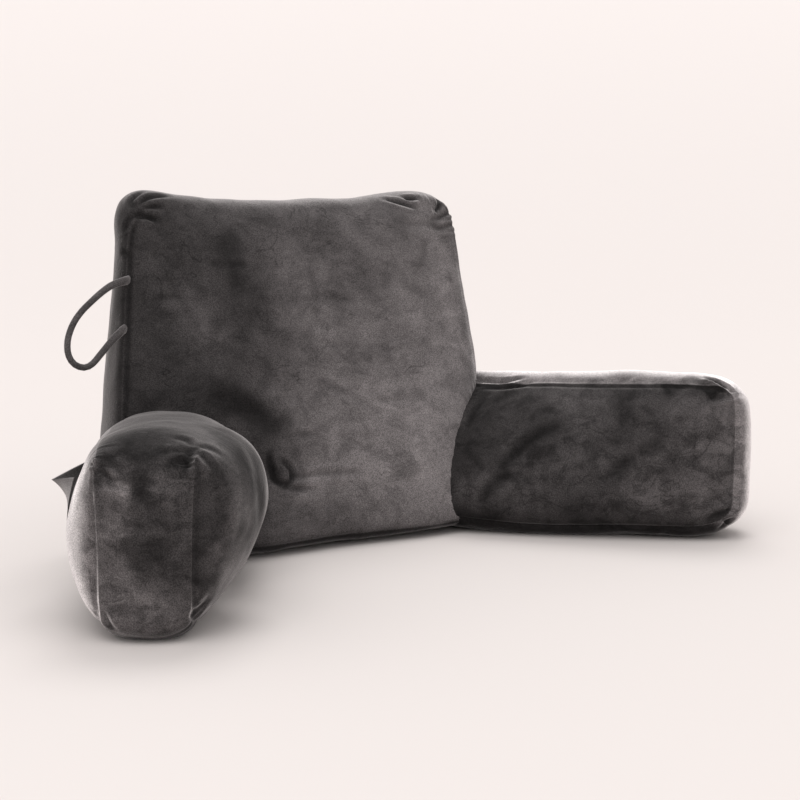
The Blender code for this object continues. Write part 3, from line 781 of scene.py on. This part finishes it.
def backrest_back(p, q):
    """The back panel, nearly upright and less crowned."""
    points, _ = backrest_panel(p, q, BACK_HALF_WIDTHS, BACK_TOP_Z, BACK_FOOT_Y, BACK_TOP_Y)
    points[..., 1] += BACK_CROWN * crown(p, *ACROSS_SECTION) * crown(q, *UP_SECTION)
    return points


def backrest_strip(p, normal):
    """How far the backrest's strip swells: most under the foot and at the two top corners."""
    up, down = np.clip(normal[:, 2], 0, 1), np.clip(-normal[:, 2], 0, 1)
    top = STRIP_TOP_CROWN + np.where(p < 0, *STRIP_CORNER_CROWNS) * p**4
    return up * top + down * STRIP_FOOT_CROWN + (1 - up - down) * STRIP_SIDE_CROWN


def arm_outward(arm):
    """The level direction across an arm, from its inner to its outer panel."""
    run = np.array(arm["inner_front"]) - np.array(arm["inner_rear_low"])
    run /= np.linalg.norm(run)
    return run, np.array([-run[1] * arm["side"], run[0], 0])


def arm_panel(arm, p, q, low, high, front, bend, toe):
    """A panel from inside the backrest (p = -1) to the arm's end (p = 1), bent to the lap at its top."""
    rounder = np.where(q < 0, arm["low_corner"], 1.0)
    p, q = round_corners(p, q, ARM_CORNER[0] * rounder, ARM_CORNER[1] * rounder, ARM_CORNER_SHARPNESS)
    along, rise = lerp(-ARM_SUNK, 1, (p + 1) / 2), (q + 1) / 2
    rear = lerp(np.array(low), np.array(high), rise[..., None] ** REAR_SLANT)
    run, outward = arm_outward(arm)
    end = np.array(front) - run * (arm["tuck"] * (1 - rise) ** 2)[..., None]
    plan = lerp(rear, end, along[..., None])
    arch = np.clip(1 - (2 * along - 1) ** 2, 0, 1)
    forward = np.clip(along, 0, 1)
    top = lerp(arm["top_rear"], arm["top_front"], forward)
    top = top + arm["top_rise"] * arch - arm["top_droop"] * forward**8
    points = np.stack([arm["side"] * plan[..., 0], plan[..., 1], lerp(arm["low"], top, rise)], -1)
    return points - outward * (bend * arch * rise + toe * (1 - rise) ** 2)[..., None]


def arm_section(q, lift):
    """The swell of an arm's panel from its low to its high seam, fullest above the middle by its lift."""
    return crown(q - lift * (1 - q * q), *ARM_HEIGHT_SECTION)


def arm_inner(arm, p, q):
    """The panel beside the lap, with the crease where the arm bends."""
    low, high, front = arm["inner_rear_low"], arm["inner_rear_high"], arm["inner_front"]
    points = arm_panel(arm, p, q, low, high, front, arm["bend"], arm["toe"])
    section = arm_section(q, arm["inner_lift"])
    crease = np.exp(-(((p - CREASE_AT + CREASE_SLANT * q) / CREASE_WIDTH) ** 2))
    swell = section * (arm["inner_crown"] * crown(p, *ARM_LENGTH_SECTION) - arm["crease"] * crease)
    return points - arm_outward(arm)[1] * swell[..., None]


def arm_outer(arm, p, q):
    """The panel on the outer side."""
    points = arm_panel(arm, p, q, arm["outer_rear_low"], arm["outer_rear_high"], arm["outer_front"], 0, 0)
    swell = arm_section(q, arm["outer_lift"]) * arm["outer_crown"] * crown(p, *ARM_LENGTH_SECTION)
    return points + arm_outward(arm)[1] * swell[..., None]


def arm_strip(arm, normal):
    """How far an arm's strip swells on its top, its front end and its underside."""
    up, down = np.clip(normal[:, 2], 0, 1), np.clip(-normal[:, 2], 0, 1)
    return up * arm["top_crown"] + down * ARM_FOOT_CROWN + (1 - up - down) * arm["end_crown"]


def handle_route():
    """The handle's centreline: out of the seam, round in front of its plane, and back into the seam."""
    lean = (FRONT_TOP_Y - FRONT_FOOT_Y) / (FRONT_TOP_Z - FOOT_SEAM_Z)
    plan = np.array(HANDLE_ROUTE)
    ends = plan[[0, -1]] + (HANDLE_SUNK, 0)
    plan = np.concatenate([ends[:1], plan, ends[1:]])
    forward = np.full(len(plan), HANDLE_FORWARD)
    forward[[1, -2]] = 0
    forward[[0, -1]] = -HANDLE_SUNK
    y = FRONT_FOOT_Y + lean * (plan[:, 1] - FOOT_SEAM_Z) - forward
    return smooth_line(np.stack([plan[:, 0], y, plan[:, 1]], -1), HANDLE_STEPS)


def smooth_line(points, steps):
    """A Catmull-Rom curve through the points, read at even steps along its length."""
    padded = np.concatenate([2 * points[:1] - points[1:2], points, 2 * points[-1:] - points[-2:-1]])
    a, b, c, d = padded[:-3, None], padded[1:-2, None], padded[2:-1, None], padded[3:, None]
    t = np.linspace(0, 1, 12, endpoint=False)[None, :, None]
    fine = (2 * b + (c - a) * t + (2 * a - 5 * b + 4 * c - d) * t**2 + (3 * b - a - 3 * c + d) * t**3) / 2
    fine = np.concatenate([fine.reshape(-1, 3), points[-1:]])
    along = lengths_along(fine)
    return read_line(np.linspace(0, along[-1], steps + 1), along, fine)


def capped_tube(route):
    """A round tube along the route, flattened towards both ends where it is sewn down, with closed ends."""
    tangent = np.gradient(route, axis=0)
    tangent /= np.linalg.norm(tangent, axis=1, keepdims=True)
    forward = np.cross(np.cross(tangent, (0, -1, 0)), tangent)
    forward /= np.linalg.norm(forward, axis=1, keepdims=True)
    side = np.cross(tangent, forward)
    near_end = np.abs(np.linspace(-1, 1, len(route)))[:, None] ** 4
    width = lerp(HANDLE_THICKNESS, HANDLE_END_WIDTH, near_end) / 2
    depth = lerp(HANDLE_THICKNESS, HANDLE_THICKNESS * HANDLE_FLATTENED, near_end) / 2
    turn = np.linspace(0, 2 * math.pi, HANDLE_SIDES, endpoint=False)[None, :, None]
    rings = route[:, None] + np.cos(turn) * (side * width)[:, None]
    rings = rings + np.sin(turn) * (forward * depth)[:, None]
    index = np.arange(rings.shape[0] * HANDLE_SIDES).reshape(rings.shape[:2])
    after = np.roll(index, -1, axis=1)
    wall = np.stack([index[:-1], after[:-1], after[1:], index[1:]], -1).reshape(-1, 4)
    first, last = index.size + np.arange(2)
    caps = [np.stack([np.full(HANDLE_SIDES, middle), ring, np.roll(ring, -1)], -1)
            for middle, ring in ((first, index[0, ::-1]), (last, index[-1]))]
    points = np.concatenate([rings.reshape(-1, 3), route[:1], route[-1:]])
    return points, wall.tolist() + np.concatenate(caps).tolist()


def pocket_sheet(a, b, off):
    """The pocket's panel: a runs from its front to its rear edge, b from foot to mouth, off out of the arm.

    It follows the arm's outer panel, and near the mouth it stands away from it and droops, most at the tip.
    """
    arm = ARMS["arm_left"]
    p = lerp(POCKET_FRONT_P, POCKET_REAR_P, a)
    q = lerp(POCKET_LOW_Q, POCKET_HIGH_Q + POCKET_REAR_RISE * a, b)
    tent = np.where(a < POCKET_TIP, a / POCKET_TIP, (1 - a) / (1 - POCKET_TIP)) * b**POCKET_SPREAD
    stand = POCKET_STAND_OFF + off + POCKET_GAPE * tent
    points = arm_outer(arm, p, q) + arm_outward(arm)[1] * stand[..., None]
    points[..., 2] -= POCKET_DROOP * tent
    return points


def closed_sheet(inner, outer):
    """The points and faces of a thin closed solid between two grids of the same size."""
    rows, columns = inner.shape[:2]
    index = np.arange(rows * columns).reshape(rows, columns)
    rim, panel = grid_rim(index), grid_faces(index)
    after = np.roll(rim, -1)
    edge = np.stack([rim, index.size + rim, index.size + after, after], -1)
    points = np.concatenate([inner.reshape(-1, 3), outer.reshape(-1, 3)])
    return points, outward_faces(points, np.concatenate([panel, index.size + panel[:, ::-1], edge]))


def placed(points):
    """The points with the middle of the pillow's box over the origin."""
    return points + np.array([PLACE_X, PLACE_Y, 0])


def add_surface(name, points, faces, pile, finish):
    """A smooth mesh object with its points in the row frame, and its pile attribute: the pile's lie with
    painted light and shade.
    """
    data = bpy.data.meshes.new(name)
    data.from_pydata(placed(points).tolist(), [], [tuple(face) for face in faces])
    data.shade_smooth()
    lie = data.attributes.new("pile", "FLOAT", "POINT")
    lie.data.foreach_set("value", np.asarray(pile, np.float32))
    data.materials.append(finish)
    return add_item(name, data)


def taut_cushion(cushion, above, held=()):
    """A plain cushion with its cloth taut at the top seams: points, faces, seams and the strip's points."""
    points, faces, seams, in_strip = cushion
    share = taut_share(points, faces, seams, above, held)
    return taut(points, faces, share, TAUT_ROUNDS), faces, seams, in_strip


def backrest_cushion():
    """The backrest's plain cushion; its cloth isn't taut at the top corners of its panels."""
    panels = (backrest_front, backrest_back)
    cushion = boxed_cushion(*panels, backrest_strip, BACKREST_ROUNDING, *BACKREST_SPANS)
    held = [panel(np.array(p), np.array(1.0)) for panel in panels for p in (-1.0, 1.0)]
    return taut_cushion(cushion, BACKREST_TAUT_FROM, held)


def arm_cushion(name):
    """An arm's plain cushion."""
    arm = ARMS[name]
    cushion = boxed_cushion(
        lambda p, q: arm_inner(arm, p, q),
        lambda p, q: arm_outer(arm, p, q),
        lambda p, normal: arm_strip(arm, normal),
        ARM_ROUNDING[name],
        *ARM_SPANS,
    )
    return taut_cushion(cushion, ARM_TAUT_FROM)


def panel_pile_and_painted_light(cushion, node):
    """The tone of the back or outer panel and of the strip, the pile's lie with painted light and shade, and
    0 on the front or inner panel.

    The points hold the two panels, with as many points each, and then the strip, in runs from seam to seam.
    """
    points, _, seams, in_strip = cushion
    back, side, top, foot = PANEL_PILE_AND_PAINTED_LIGHT[node]
    panel_size = seams[1][0]
    by_seam_point = seam_shares(points[seams[0]], side, side, top, foot)
    pile = np.zeros(len(points))
    pile[panel_size : 2 * panel_size] = back
    pile[in_strip] = np.repeat(by_seam_point, in_strip.sum() // len(by_seam_point))
    return pile


def dressed(node, cushion, corners, folds, neighbours, seed):
    """The cushion's points, faces and pile attribute, with its seams, gathered corners, lumps and folds.

    It is drawn in where it meets its neighbours' points, and lies flat on the floor where it would reach
    below it. Shade is painted into the pile attribute in the folds, in the seams' grooves and where the
    cloth faces the floor, and a highlight along the strips' edges at the seams.
    """
    points, faces, seams, in_strip = cushion
    # the pile's marks and the panels' tones, with painted light and shade
    pile = marks_of_pile_and_painted_light(points, PILE_AND_PAINTED_LIGHT_MARKS[node], PILE_SEED) + panel_pile_and_painted_light(cushion, node)
    # painted shade where the cloth faces the floor
    pile -= FOOT_PAINTED_SHADE * np.clip(-vertex_normals(points, faces)[:, 2] * 1.5, 0, 1)
    relief = filling_lumps(points, seed)
    for seam, places in zip(seams, corners):
        shares = seam_shares(points[seam], *SEAMS_SHOW[node])
        height, groove, edge = seam_relief(points, seam, in_strip, places, shares, seed + SEAM_SEED)
        relief += height
        # painted highlight on the strip's edge at the seam and painted shade in its groove
        pile += EDGE_PAINTED_HIGHLIGHT * edge - SEAM_PAINTED_SHADE * groove
    for others in neighbours:
        relief -= JOIN_DEPTH * nearness(points, others, JOIN_WIDTH)
    creases = fold_relief(points, folds)
    # painted shade in the folds' valleys and a little painted highlight on their rims
    pile = np.clip(pile + np.clip(creases * FOLD_PAINTED_SHADE, *FOLD_PAINTED_SHADE_LIMITS), *PILE_RANGE)
    points = points + vertex_normals(points, faces) * (relief + creases)[:, None]
    points[:, 2] = np.maximum(points[:, 2], 0)
    return points, faces, pile


def corner_places(surface, corners):
    """The corners' places on a panel with their radius and strength."""
    return [(surface(np.array(p), np.array(q)), radius, gain) for p, q, radius, gain in corners]


def backrest_shape(arms):
    """The backrest's dressed cushion, drawn in along both arms."""
    front = corner_places(backrest_front, BACKREST_FRONT_CORNERS)
    back = corner_places(backrest_back, BACKREST_BACK_CORNERS)
    near = [cushion[0][::JOIN_EVERY] for cushion in arms.values()]
    return dressed("backrest", backrest_cushion(), (front, back), BACKREST_FOLDS, near, BACKREST_SEED)


def arm_shape(name, cushion):
    """An arm's dressed cushion, drawn in along the front panel."""
    arm = ARMS[name]
    corners = [corner_places(lambda p, q: side(arm, p, q), ARM_CORNERS) for side in (arm_inner, arm_outer)]
    p, q = np.meshgrid(np.linspace(-1, 1, JOIN_GRID), np.linspace(-1, 1, JOIN_GRID))
    near = [backrest_front(p, q).reshape(-1, 3)]
    return dressed(name, cushion, corners, ARM_FOLDS[name], near, ARM_SEEDS[name])


def handle_shape():
    """The handle's turned tube, its pile dark along its seam."""
    points, faces = capped_tube(handle_route())
    on_seam = np.arange(len(points)) % HANDLE_SIDES == HANDLE_SEAM
    return points, faces, np.where(on_seam, HANDLE_SEAM_PILE, 0.0)


def pocket_shape():
    """The pocket's panel, sewn to the left arm at its foot and both sides."""
    along, up = (np.linspace(0, 1, spans + 1) for spans in POCKET_SPANS)
    a, b = np.meshgrid(along, up, indexing="ij")
    points, faces = closed_sheet(pocket_sheet(a, b, 0), pocket_sheet(a, b, POCKET_THICKNESS))
    return points, faces, np.full(len(points), POCKET_PILE)


def add_piece(name, shape, finish, node):
    """A piece that stands for its node and moves with the pillow."""
    item = add_surface(name, *shape, finish)
    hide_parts(node)
    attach(item, "root")
    return item


def clear_stage():
    """Takes away any light or camera that came with the file."""
    for item in list(bpy.data.objects):
        if item.type in {"LIGHT", "CAMERA"}:
            bpy.data.objects.remove(item, do_unlink=True)


def new_finish(name, values):
    """A material with these values on its shader, and two functions: add for a node, feed for the shader."""
    finish = bpy.data.materials.new(name)
    finish.use_nodes = True
    tree = finish.node_tree
    shader = tree.nodes["Principled BSDF"]
    for socket, value in values.items():
        shader.inputs[socket].default_value = value

    def add(kind, inputs=(), output=0, **settings):
        """A new node's output; its inputs, by name or number, are values or other nodes' outputs."""
        node = tree.nodes.new(kind)
        for key, value in settings.items():
            setattr(node, key, value)
        for key, value in dict(inputs).items():
            if isinstance(value, bpy.types.NodeSocket):
                tree.links.new(value, node.inputs[key])
            else:
                node.inputs[key].default_value = value
        return node.outputs[output]

    def feed(socket, output):
        """Feeds a socket of the shader from a node's output."""
        tree.links.new(output, shader.inputs[socket])

    return finish, add, feed


def velvet(name, brightness, mottle):
    """Charcoal velvet: dark face on, pale where it is seen along its pile, by its sheen and by a painted
    sheen, and marked where it is brushed.

    The colour is the velvet's own, scaled by the pile attribute (the pile's lie, with painted light and
    shade), by noise of several sizes and the strength mottle, and by thin crush lines, plus a painted sheen:
    a pale rim added to the colour where the surface turns away from the view.
    """
    finish, add, feed = new_finish(name, VELVET_SURFACE)

    def stretched(vector, scale):
        return add("ShaderNodeMapping", {"Vector": vector, "Scale": scale})

    def noise(scale, detail, roughness, distortion, vector):
        values = {"Scale": scale, "Detail": detail, "Roughness": roughness, "Distortion": distortion}
        return add("ShaderNodeTexNoise", {"Vector": vector, **values})

    def ramp(value, low, high, start, end):
        values = {"From Min": low, "From Max": high, "To Min": start, "To Max": end}
        return add("ShaderNodeMapRange", {"Value": value, **values}, interpolation_type="SMOOTHSTEP")

    def math_of(operation, *values):
        return add("ShaderNodeMath", enumerate(values), operation=operation)

    def product(first, *others):
        for other in others:
            first = math_of("MULTIPLY", first, other)
        return first

    def scaled(colour, factor):
        return add("ShaderNodeVectorMath", {0: colour, "Scale": factor}, operation="SCALE")

    def bumped(height, strength, distance, before=None):
        values = {"Height": height, "Strength": strength, "Distance": distance}
        return add("ShaderNodeBump", {**values, "Normal": before} if before else values)

    place = add("ShaderNodeTexCoord", output="Object")
    level, upright = stretched(place, LEVEL_STRETCH), stretched(place, UPRIGHT_STRETCH)
    # the pile attribute: the pile's own lie, with painted light and shade, which scales the colour
    lie = add("ShaderNodeAttribute", output="Fac", attribute_name="pile")
    turned = ramp(lie, *PILE_RANGE, *PILE_AND_PAINTED_LIGHT_BRIGHTNESS)
    painted_sheen_by_pile = ramp(lie, *PILE_RANGE, *PILE_PAINTED_SHEEN)
    brushed = ramp(noise(9.0, 4.0, 0.62, 0.8, level), 0.36, 0.62, 1 - 0.26 * mottle, 1 + 0.24 * mottle)
    streaks = ramp(noise(40.0, 4.0, 0.65, 0.5, level), 0.34, 0.58, 1 - 0.34 * mottle, 1 + 0.12 * mottle)
    tall = ramp(noise(14.0, 3.0, 0.6, 0.6, upright), 0.36, 0.62, 1 - 0.16 * mottle, 1 + 0.14 * mottle)
    grain = ramp(noise(GRAIN_SCALE, 2.0, 0.6, 0.0, place), 0.34, 0.66, 0.62, 1.42)
    ridge = math_of("ABSOLUTE", math_of("SUBTRACT", noise(16.0, 3.0, 0.55, 0.8, level), 0.5))
    where = ramp(noise(8.0, 2.0, 0.5, 0.0, place), 0.43, 0.56, 0.0, 1.0)
    crushed = product(ramp(ridge, 0.0, CRUSH_LINE, 1.0, 0.0), where)
    crush_shade = math_of("SUBTRACT", 1.0, product(crushed, CRUSH_SHADE))
    shade = product(product(turned, brushed), product(streaks, tall), grain, crush_shade)
    # painted sheen: a pale rim added to the colour where the surface is seen edge on, less where it is dark
    facing = add("ShaderNodeLayerWeight", {"Blend": 0.5}, output="Facing")
    rim = math_of("POWER", ramp(facing, PAINTED_SHEEN_FROM, 1.0, 0.0, 1.0), PAINTED_SHEEN_POWER)
    body = scaled(tuple(brightness * c for c in VELVET_COLOUR), shade)
    edge = scaled(PAINTED_SHEEN_COLOUR, product(rim, product(grain, painted_sheen_by_pile)))
    feed("Base Color", add("ShaderNodeVectorMath", {0: body, 1: edge}, operation="ADD"))

    soft = bumped(noise(60.0, 4.0, 0.6, 0.8, level), 0.35, 0.002)
    creased = bumped(math_of("SUBTRACT", 1.0, crushed), 0.30, 0.0015, soft)
    feed("Normal", bumped(noise(FIBRE_SCALE, 2.0, 0.5, 0.0, place), 0.25, 0.0006, creased))
    return finish


def sweep_finish():
    """A pale matt finish that blends with height from the floor's colour to the wall's."""
    finish, add, feed = new_finish("pale sweep", {"Roughness": 0.9, "Specular IOR Level": 0.2})
    place = add("ShaderNodeTexCoord", output="Object")
    height = add("ShaderNodeSeparateXYZ", {"Vector": place}, output="Z")
    share = add("ShaderNodeMapRange", {"Value": height, "From Min": 0.0, "From Max": WALL_FROM})
    ends = {"Factor": share, "A": (*FLOOR_COLOUR, 1), "B": (*WALL_COLOUR, 1)}
    feed("Base Color", add("ShaderNodeMix", ends, output="Result", data_type="RGBA"))
    return finish


def add_item(name, data):
    """A new object in the scene."""
    item = bpy.data.objects.new(name, data)
    bpy.context.scene.collection.objects.link(item)
    return item


def add_sun(name, toward, strength, spread):
    """An even light from the direction toward, whose shadows soften over its spread in degrees."""
    lamp = bpy.data.lights.new(name, "SUN")
    lamp.energy = strength
    lamp.angle = math.radians(spread)
    lamp.color = SUN_COLOUR
    item = add_item(name, lamp)
    back = np.array(toward, float) / np.linalg.norm(toward)
    item.location = toward
    item.rotation_euler = (math.acos(back[2]), 0, math.atan2(back[1], back[0]) + math.pi / 2)


def add_sweep(turn):
    """A floor that bends up into a wall along a circle's arc, straight across the camera's view."""
    ahead = np.array([-math.sin(turn), math.cos(turn), 0])
    across = np.array([math.cos(turn), math.sin(turn), 0])
    run = np.linspace(*SWEEP_RUN, SWEEP_GRID[0])
    wide = np.linspace(-SWEEP_HALF_WIDTH, SWEEP_HALF_WIDTH, SWEEP_GRID[1])
    past_bend = np.clip(run - SWEEP_BEND, 0, SWEEP_RADIUS)
    height = SWEEP_RADIUS - np.sqrt(np.maximum(SWEEP_RADIUS**2 - past_bend**2, 0))
    points = run[:, None, None] * ahead + wide[None, :, None] * across
    points = points + height[:, None, None] * np.array([0, 0, 1])
    faces = grid_faces(np.arange(run.size * wide.size).reshape(run.size, wide.size))[:, ::-1]
    data = bpy.data.meshes.new("studio_sweep")
    data.from_pydata((points.reshape(-1, 3) - (0, 0, SWEEP_GAP)).tolist(), [], faces.tolist())
    data.shade_smooth()
    data.materials.append(sweep_finish())
    add_item("studio_sweep", data)


def add_studio():
    """The sweep, soft light from all round and two suns, and the camera at the photograph's angle."""
    turn = math.radians(VIEW_TURN)
    add_sweep(turn)

    world = bpy.data.worlds.new("studio air")
    world.use_nodes = True
    air = world.node_tree.nodes["Background"]
    air.inputs["Color"].default_value = AIR_COLOUR
    air.inputs["Strength"].default_value = AIR_STRENGTH
    bpy.context.scene.world = world
    bpy.context.scene.view_settings.view_transform = "Standard"

    for sun in SUNS:
        add_sun(*sun)

    lens = bpy.data.cameras.new("camera")
    lens.lens = LENS_MM
    lens.sensor_width = SENSOR_MM
    camera = add_item("camera", lens)
    camera.location = CAMERA_PLACE
    camera.rotation_euler = (math.radians(90 - VIEW_DROP), 0, turn)
    bpy.context.scene.camera = camera


def main():
    """Dresses the pillow's five pieces and sets the stage."""
    clear_stage()
    cloth = {piece: velvet(piece + " velvet", *look) for piece, look in VELVET_LOOKS.items()}

    arms = {name: arm_cushion(name) for name in ARMS}
    shape = backrest_shape(arms)
    add_piece("backrest_cushion", shape, cloth["backrest"], "backrest")
    for name, cushion in arms.items():
        shape = arm_shape(name, cushion)
        add_piece(name + "_cushion", shape, cloth["arm"], name)
    add_piece("carry_handle", handle_shape(), cloth["handle"], "handle")
    pocket = add_piece("side_pocket", pocket_shape(), cloth["pocket"], "pocket")
    add_studio()


main()
